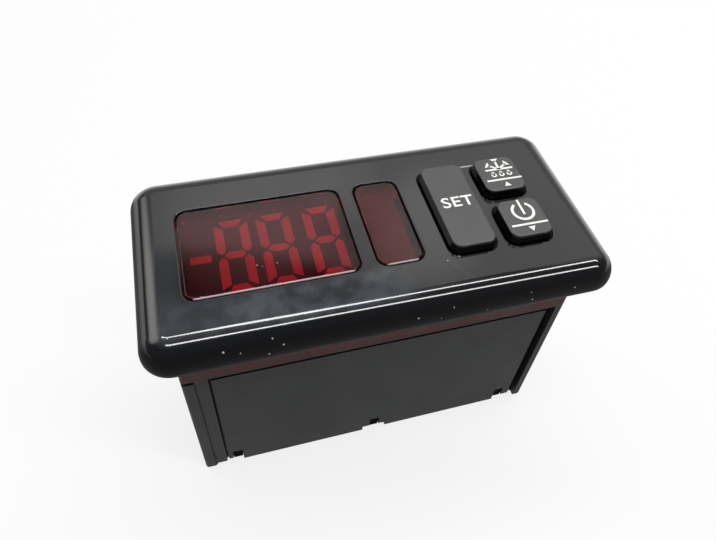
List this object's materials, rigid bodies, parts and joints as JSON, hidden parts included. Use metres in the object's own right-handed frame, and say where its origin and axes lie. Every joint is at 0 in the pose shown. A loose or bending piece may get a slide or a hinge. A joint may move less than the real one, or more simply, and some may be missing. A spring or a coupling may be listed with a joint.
{
  "type": "temperature controller",
  "caption": "Panel temperature controller for refrigeration: rounded gloss black front, red display and indicator windows, push keys and a deep grey case with rear screw terminals.",
  "frame": {"origin": "centre of the bounding box at the rear edge that the controller stands on", "axes": "+X along the long side as the front reads, +Y up the front, +Z out of the front"},
  "size_m": [0.079, 0.038, 0.0534],
  "materials": {
    "gloss_black": "polished moulding",
    "smoked_red": "clear smoked red moulding",
    "key_black": "satin",
    "case_grey": "fine spark texture",
    "terminal_black": "satin",
    "part_black": "satin",
    "board_green": "solder mask",
    "chamber_grey": "light box",
    "display_face": "painted face",
    "segment_white": "clouded resin",
    "light_red": "clear resin",
    "pin_tin": "tinned",
    "plunger_brown": "satin",
    "ferrite_grey": "ground",
    "winding_tape": "tape",
    "can_sleeve": "shrunk sleeve",
    "cage_brass": "plated",
    "screw_steel": "zinc plated"
  },
  "bodies": {
    "housing": {"bezel": "gloss_black", "lens_frame": "smoked_red", "display_board": "board_green", "digit_display": "display_face", "digit_segments": "segment_white", "indicator_light_box": "chamber_grey", "indicator_lights": "light_red", "microcontroller": "part_black", "link_header": "part_black", "link_pins": "pin_tin", "main_board": "board_green", "transformer_core": "ferrite_grey", "transformer_winding": "winding_tape", "filter_capacitor": "can_sleeve", "compressor_relay": "part_black", "defrost_relay": "part_black", "buzzer": "part_black", "case": "case_grey", "side_panel": "case_grey", "rear_cover": "terminal_black", "set_switch": "part_black", "up_switch": "part_black", "down_switch": "part_black", "power_terminal_block": "terminal_black", "power_terminal_cages": "cage_brass", "power_terminal_screws": "screw_steel", "probe_terminal_block": "terminal_black", "probe_terminal_cages": "cage_brass", "probe_terminal_screws": "screw_steel"},
    "set_key": {"set_key": "key_black", "set_plunger": "plunger_brown"},
    "up_key": {"up_key": "key_black", "up_plunger": "plunger_brown"},
    "down_key": {"down_key": "key_black", "down_plunger": "plunger_brown"}
  },
  "joints": [
    {"name": "set_key_press", "type": "slide", "parent": "housing", "child": "set_key", "axis": [0, 0, -1], "range_m": [0, 0.0005], "stiffness_N_per_m": 250, "springref_m": -0.004},
    {"name": "up_key_press", "type": "slide", "parent": "housing", "child": "up_key", "axis": [0, 0, -1], "range_m": [0, 0.0005], "stiffness_N_per_m": 250, "springref_m": -0.004},
    {"name": "down_key_press", "type": "slide", "parent": "housing", "child": "down_key", "axis": [0, 0, -1], "range_m": [0, 0.0005], "stiffness_N_per_m": 250, "springref_m": -0.004}
  ]
}
